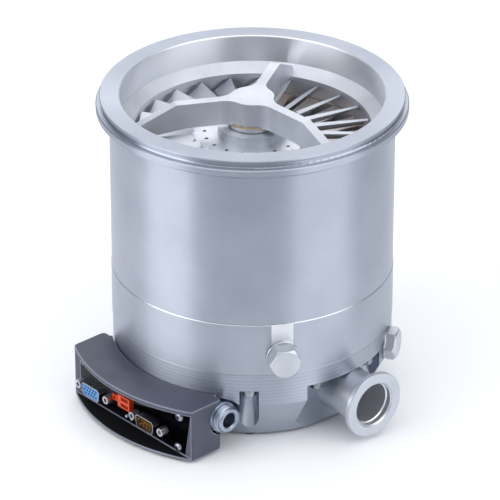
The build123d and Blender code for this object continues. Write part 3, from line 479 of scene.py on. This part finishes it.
def turned_part(name, profile, sides=48, hollow=False):
    """A part from a lathe, upright at the origin: (radius, height) steps in mm, from its foot on.

    A solid part ends in a flat cap. A hollow one comes back to where its profile began.
    """
    bpy.ops.object.select_all(action="DESELECT")
    radius, height = profile[0]
    bpy.ops.mesh.primitive_circle_add(vertices=sides, radius=radius * MM,
                                      fill_type="NOTHING" if hollow else "NGON")
    piece = bpy.context.object
    piece.name = name
    bpy.ops.object.mode_set(mode="EDIT")
    bpy.ops.mesh.select_all(action="SELECT")
    bpy.ops.transform.translate(value=(0, 0, height * MM))
    for next_radius, next_height in [*profile[1:], *([profile[0]] if hollow else [])]:
        rise = {"value": (0, 0, (next_height - height) * MM)}
        if hollow:
            bpy.ops.mesh.extrude_edges_move(TRANSFORM_OT_translate=rise)
        else:
            bpy.ops.mesh.extrude_region_move(TRANSFORM_OT_translate=rise)
        factor = next_radius / radius
        bpy.ops.transform.resize(value=(factor, factor, 1), center_override=(0, 0, 0))
        radius, height = next_radius, next_height
    bpy.ops.mesh.select_all(action="SELECT")
    bpy.ops.mesh.remove_doubles(threshold=1e-6)
    bpy.ops.mesh.normals_make_consistent(inside=False)
    bpy.ops.object.mode_set(mode="OBJECT")
    return piece


def cut_socket(piece, radius, low, sides, shape):
    """Turns a round recess into a driver's socket: shape scales its corners in turn."""
    bpy.ops.object.mode_set(mode="EDIT")
    for turn, factor in enumerate(shape):
        if factor == 1:
            continue
        def here(p, turn=turn):
            step = round(math.degrees(math.atan2(p.y, p.x)) / (360 / sides)) % len(shape)
            return p.z >= low - 0.01 and abs(p.xy.length - radius) < 0.01 and step == turn
        pick(piece, "VERT", here)
        bpy.ops.transform.resize(value=(factor, factor, 1), center_override=(0, 0, 0))
    bpy.ops.object.mode_set(mode="OBJECT")


def settle(piece, matrix=None):
    """Puts a piece's place, turn and size into its mesh, and smooths its shallow angles."""
    bpy.ops.object.select_all(action="DESELECT")
    piece.select_set(True)
    bpy.context.view_layer.objects.active = piece
    if matrix:
        piece.matrix_world = matrix @ piece.matrix_world
    bpy.ops.object.transform_apply(location=True, rotation=True, scale=True)
    bpy.ops.object.shade_smooth_by_angle(angle=math.radians(32))
    return piece


def set_out(name, pattern, places, finish, body="housing", stands_for=()):
    """Copies a finished pattern to every place, joins the copies and puts the pattern away."""
    made = []
    for matrix in places:
        bpy.ops.object.select_all(action="DESELECT")
        pattern.select_set(True)
        bpy.context.view_layer.objects.active = pattern
        bpy.ops.object.duplicate(linked=False)
        made.append(settle(bpy.context.object, matrix))
    bpy.data.objects.remove(pattern)
    bpy.ops.object.select_all(action="DESELECT")
    for piece in made:
        piece.select_set(True)
    bpy.context.view_layer.objects.active = made[0]
    if len(made) > 1:
        bpy.ops.object.join()
    piece = bpy.context.object
    piece.name = name
    piece.data.materials.clear()
    piece.data.materials.append(finish)
    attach(piece, body)
    if stands_for:
        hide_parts(*stands_for)
    print(name, "x", len(made), "faces", len(piece.data.polygons))
    return piece


def solids_of(node):
    """The (lowest, highest) corners of each separate solid in one CAD node."""
    mesh = nodes[node].data
    names = [tuple(round(c, 6) for c in v.co) for v in mesh.vertices]
    leader = {name: name for name in names}

    def find(name):
        while leader[name] != name:
            leader[name] = leader[leader[name]]
            name = leader[name]
        return name

    for face in mesh.polygons:
        first = find(names[face.vertices[0]])
        for v in face.vertices[1:]:
            leader[find(names[v])] = first
    groups = {}
    for name in leader:
        groups.setdefault(find(name), []).append(name)
    return [(Vector(map(min, zip(*g))), Vector(map(max, zip(*g)))) for g in groups.values()]


def panel_span(points):
    """The lowest and highest u, z and w, in mm, of points on the electronics box."""
    local = [(p.dot(box_right) / MM, p.z / MM, p.dot(box_out) / MM) for p in points]
    return [(min(axis), max(axis)) for axis in zip(*local)]


def node_points(node):
    return [v.co for v in nodes[node].data.vertices]


panel_w = panel_span(node_points("connector_panel"))[2][1]
print("panel stands out to", round(panel_w, 2), "mm")


def panel_seats(node):
    """A place on the panel's face for each separate solid of one CAD node."""
    middles = [(low + high) / 2 for low, high in solids_of(node)]
    return [on_panel(m.dot(box_right) / MM, m.z / MM, panel_w) for m in middles]

# %% [markdown]
# ## Screws
#
# Button-head screws with six-lobed sockets hold the connector panel, and deep socket-head
# screws stand in the pockets of the base, driven from below. A socket is the screw's whole
# character at this size, so each head is a turned form with a round recess, and the recess's
# ring of points is then pulled in, some more and some less, to six lobes or to a hexagon.

# %% Panel screws
button = turned_part("button_head", [(2.9, 0), (2.85, 0.7), (2.5, 1.35), (1.9, 1.75), (1.45, 1.85),
                                     (1.45, 0.5), (0.4, 0.35)], sides=24)
six_lobes = (1, 0.86, 0.74, 0.86)
cut_socket(button, 1.45, 0.5, 24, six_lobes)
set_out("panel_screw_heads", button, panel_seats("panel_screws"), screw_steel,
        stands_for=("panel_screws",))

# %% Screws in the base's pockets
cap = turned_part("cap_head", [(4.1, 0), (4.25, -0.25), (4.25, -4.5), (3.9, -5), (2.75, -5),
                               (2.75, -2.4), (1.2, -2)], sides=24)
hexagon = (1, 0.897, 0.866, 0.897)
cut_socket(cap, 2.75, -5, 24, hexagon)
seats = [Matrix.Translation(((low.x + high.x) / 2, (low.y + high.y) / 2, high.z))
         for low, high in solids_of("base_screws")]
set_out("pocket_screws", cap, seats, screw_steel, stands_for=("base_screws",))

# %% [markdown]
# ## Connectors
#
# Each D connector is a bent tin-plated shell round a moulded insert. The blue one is a socket:
# fifteen small holes in three rows. The other is a plug: nine gold pins that stand in a dark
# pocket. Between threaded hexagon posts they are the most finely made parts that a hand
# touches, and the rows of contacts tell the eye how large everything else is.

# %% Hexagon posts
post = turned_part("post", [(2.75, 0), (2.75, 4.4), (2.45, 4.8), (1.35, 4.8), (1.25, 4.4),
                            (1.35, 4.0), (1.25, 3.6), (1.35, 3.2), (1.25, 2.8), (1.3, 1.6),
                            (0.4, 1.4)], sides=24)
cut_socket(post, 2.75, 0, 24, hexagon)
set_out("threaded_posts", post, panel_seats("connector_standoffs"), plug_steel,
        stands_for=("connector_standoffs",))

# %% Contacts of the two D connectors
# the spacings are the connectors' standard ones, in mm
socket_u, socket_z, socket_w = panel_span(node_points("de15_insert"))
hole = turned_part("socket_hole", [(0.62, 0.0), (0.62, 0.12), (0.42, 0.12), (0.42, 0.02),
                                   (0.1, 0.02)], sides=12)
middle_u, middle_z = sum(socket_u) / 2, sum(socket_z) / 2
seats = [on_panel(middle_u + (step - 2) * 2.29 + shift, middle_z + row * 1.98, socket_w[1])
         for row, shift in ((1, 0.0), (0, -1.15), (-1, 0.0)) for step in range(5)]
# each hole is a shallow black disc on the blue insert: painted shade for the hole's depth
set_out("socket_holes", hole, seats, black_panel_and_hole_shade)

pin_u, pin_z, pin_w = panel_span(node_points("de9_insert"))
shell_w = panel_span(node_points("de9_shell"))[2][1]
print("DE-9 insert ends at", round(pin_w[1], 2), "and its shell at", round(shell_w, 2), "mm")
reach = shell_w - pin_w[1]
pin = turned_part("pin", [(0.62, 0), (0.62, 1.0), (0.5, 1.0), (0.5, reach - 0.9),
                          (0.25, reach - 0.4)], sides=12)
middle_u, middle_z = sum(pin_u) / 2, sum(pin_z) / 2
seats = [on_panel(middle_u + (step - (count - 1) / 2) * 2.77, middle_z + row * 1.42, pin_w[1])
         for row, count in ((1, 5), (-1, 4)) for step in range(count)]
set_out("gold_pins", pin, seats, contact_gold)

# %% [markdown]
# Beside the orange bus connector sits a smaller red one, and under it two lamps show the
# pump's state through clear domes. They are a few millimetres across.

# %% Bus pins, small red connector and lamps
bus_u, bus_z, bus_w = panel_span(node_points("bus_connector"))
middle_u, middle_z = sum(bus_u) / 2, sum(bus_z) / 2
blade_pin = turned_part("blade_pin", [(0.36, -1.9), (0.36, -0.5), (0.16, -0.2)], sides=8)
seats = [on_panel(middle_u + 0.8 + (step - 1.5) * 1.3, middle_z + row * 2.0, bus_w[1])
         for row in (-1, 1) for step in range(4)]
set_out("bus_pins", blade_pin, seats, contact_gold)

lamp_clear = grained_finish("clear_lamp", "#D8DEE6", "#B9C0CA", 0.12, ior=1.49)
dome = turned_part("dome", [(0.95, 0), (0.95, 0.35), (0.8, 0.75), (0.5, 1.0), (0.2, 1.08)],
                   sides=16)
seats = [on_panel(middle_u + shift, 6.7, panel_w) for shift in (-1.2, 3.4)]
set_out("status_lamps", dome, seats, lamp_clear)

bpy.ops.object.select_all(action="DESELECT")
bpy.ops.mesh.primitive_cube_add(size=1)
socket = bpy.context.object
bpy.ops.object.mode_set(mode="EDIT")
bpy.ops.transform.resize(value=(4.4 * MM, 3.4 * MM, 1.6 * MM))
bpy.ops.transform.translate(value=(0, 0, 0.8 * MM))
pick(socket, "FACE", lambda p: p.z > 1.5)
bpy.ops.mesh.inset(thickness=0.7 * MM)
bpy.ops.mesh.extrude_region_move(TRANSFORM_OT_translate={"value": (0, 0, -1.1 * MM)})
bpy.ops.object.mode_set(mode="OBJECT")
set_out("small_red_socket", socket, [on_panel(middle_u - 10.2, 15.9, panel_w)],
        orange_plastic)

# %% [markdown]
# ## Side fitting
#
# At the end of the box a nickel-plated fitting takes a hose. Its free end is threaded and its
# root is a round nut. A thread is one groove that climbs, but rings one pitch apart look the
# same at this size, and each ring is a closed loop that shades cleanly.

# %% Threaded side fitting
fit = mounts["side_fitting_bore"]
fit_axis = Vector(fit["axis"])
fit_u = [p.dot(fit_axis) / MM for p in node_points("side_fitting")]
fit_low, fit_high = min(fit_u), max(fit_u)
fit_centre = Vector(fit["pos_m"])
fit_root = fit_centre + fit_axis * (fit_low * MM - fit_centre.dot(fit_axis))
length = fit_high - fit_low
thread = []
pitch = 1.25
climb = 6.0
while climb < length - 0.9:
    thread += [(8.3, climb), (8.3, climb + 0.15), (7.6, climb + 0.62), (7.6, climb + 0.77)]
    climb += pitch
profile = [(4.6, 0.0), (8.9, 0.0), (9.4, 0.5), (9.4, 4.6), (9.0, 5.0), (8.3, 5.0)]
profile += thread + [(7.4, length - 0.5), (7.0, length), (5.2, length), (4.6, length - 0.6)]
fitting = turned_part("fitting", profile, sides=64, hollow=True)
set_out("hose_fitting", fitting, [upright(fit_root, fit_axis, up)], fitting_nickel,
        stands_for=("side_fitting",))

# %% [markdown]
# ## Electronics box with eased edges
#
# A powder coat can't cover a knife edge, so a casting's edges are eased first, and each eased
# edge catches the light as a thin line. The CAD box has sharp edges. A copy of its mesh is
# merged, its flat faces are cleaned of their triangle lines, and a Bevel modifier rounds every
# edge sharper than 40 degrees. That follows all the edges at once, where a hand would miss some.
# The rounded faces take a lighter, glossier colour: a thin painted highlight along each edge.

# %% Eased copy of a CAD node
def copy_of(node, name):
    """A separate, merged copy of a CAD node's mesh, which leaves the node itself alone."""
    mesh = nodes[node].data.copy()
    piece = bpy.data.objects.new(name, mesh)
    bpy.context.scene.collection.objects.link(piece)
    bpy.ops.object.select_all(action="DESELECT")
    piece.select_set(True)
    bpy.context.view_layer.objects.active = piece
    bpy.ops.object.mode_set(mode="EDIT")
    bpy.ops.mesh.select_all(action="SELECT")
    bpy.ops.mesh.remove_doubles(threshold=2e-6)
    bpy.ops.object.mode_set(mode="OBJECT")
    if mesh.has_custom_normals:
        bpy.ops.mesh.customdata_custom_splitnormals_clear()
    return piece


def stand_in(piece, node, finish, body="housing"):
    """Finishes a piece that takes one CAD node's place."""
    settle(piece)
    if finish:
        piece.data.materials.clear()
        piece.data.materials.append(finish)
    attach(piece, body)
    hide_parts(node)
    print(piece.name, "stands for", node, "faces", len(piece.data.polygons))
    return piece


eased_box = copy_of("electronics_housing", "coated_box")
bpy.ops.object.mode_set(mode="EDIT")
bpy.ops.mesh.select_all(action="SELECT")
bpy.ops.mesh.dissolve_limited(angle_limit=math.radians(0.3))
bpy.ops.object.mode_set(mode="OBJECT")
easing = eased_box.modifiers.new("easing", "BEVEL")
easing.width = 0.6 * MM
easing.segments = 2
easing.limit_method = "ANGLE"
easing.angle_limit = math.radians(40)
easing.use_clamp_overlap = False
# the rounded faces take the second finish, a lighter colour painted on as an edge highlight
easing.material = 1
eased_box.data.materials.clear()
for finish in (box_coat, edge_highlight_paint, painted_sill_shade):
    eased_box.data.materials.append(finish)
bpy.ops.object.modifier_apply(modifier=easing.name)
# painted shade: the sill under the panel is in the box's own shade, so its top faces are painted
# near black
sill_below = 12 * MM
sill_top = [face for face in eased_box.data.polygons
            if face.material_index == 0 and face.normal.z > 0.9 and face.center.z < sill_below]
for face in sill_top:
    face.material_index = 2
print("sill faces:", len(sill_top), "area cm2:", round(sum(f.area for f in sill_top) * 1e4, 2))
stand_in(eased_box, "electronics_housing", None)

# %% [markdown]
# ## Rotor and stator blades
#
# Seen from above, the rotor's blades turn their broad faces anticlockwise, so those on the
# left show the eye a row of light plates, and those on the right a row of edges with dark gaps
# between them. The stator's blades lean the other way. The CAD discs have the same blades
# leaning the opposite way, so each is copied, merged and mirrored, and its normals are turned
# out again, because a mirror turns a closed shell inside out.

# %% Rotor and stator discs of the right hand
def other_hand(node, name, finish, body):
    piece = copy_of(node, name)
    bpy.ops.object.mode_set(mode="EDIT")
    bpy.ops.mesh.select_all(action="SELECT")
    bpy.ops.transform.resize(value=(-1, 1, 1), center_override=(0, 0, 0))
    bpy.ops.mesh.normals_make_consistent(inside=False)
    bpy.ops.object.mode_set(mode="OBJECT")
    return stand_in(piece, node, finish, body)


other_hand("turbine_rotor", "bladed_rotor", rotor_alloy, "rotor")
for number in range(1, 5):
    other_hand(f"stator_disc_{number}", f"stator_blades_{number}", stator_alloy,
               "housing")

# %% [markdown]
# ## Parting lines and the star's collar
#
# Where two housings meet, the edges are broken with a fine chamfer, which catches the light as a
# thin line round the pump; the ring that draws it has the paler, glossier washer steel, so the
# line is partly a painted highlight. Under the star's hub a bronze ring with tiny screws clamps
# the magnet rings of the upper bearing. Between the arms one looks straight down on it.

# %% Parting rings, partly a painted highlight
seams = [(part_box("middle_ring")[0].z / MM, 82.25), (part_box("middle_ring")[1].z / MM, 82.3)]
for number, (height, radius) in enumerate(seams, 1):
    ring = turned_part("ring", [(radius - 0.4, height - 0.28), (radius, height - 0.24),
                                (radius + 0.1, height), (radius, height + 0.24),
                                (radius - 0.4, height + 0.28)], sides=180, hollow=True)
    # the paler, glossier washer steel on the chamfer is partly a painted highlight
    set_out(f"parting_ring_{number}", ring, [Matrix.Identity(4)], washer_steel)

# %% Collar ring and its screws
collar_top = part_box("star_magnets")[1].z / MM + 4.3
collar_high = collar_top + 0.6
collar = turned_part("collar", [(12.4, collar_top), (13.85, collar_top),
                                (13.85, collar_top + 0.35), (13.6, collar_high),
                                (12.4, collar_high)], sides=96, hollow=True)
set_out("collar_ring", collar, [Matrix.Identity(4)], collar_bronze)
tiny = turned_part("tiny_screw", [(0.55, 0), (0.55, 0.25), (0.4, 0.35), (0.22, 0.35),
                                  (0.22, 0.1), (0.1, 0.1)], sides=12)
seats = []
for angle in map(math.radians, range(0, 360, 24)):
    place = Vector((13.1 * math.cos(angle), 13.1 * math.sin(angle), collar_high))
    seats.append(Matrix.Translation(place * MM))
set_out("collar_screws", tiny, seats, screw_steel)
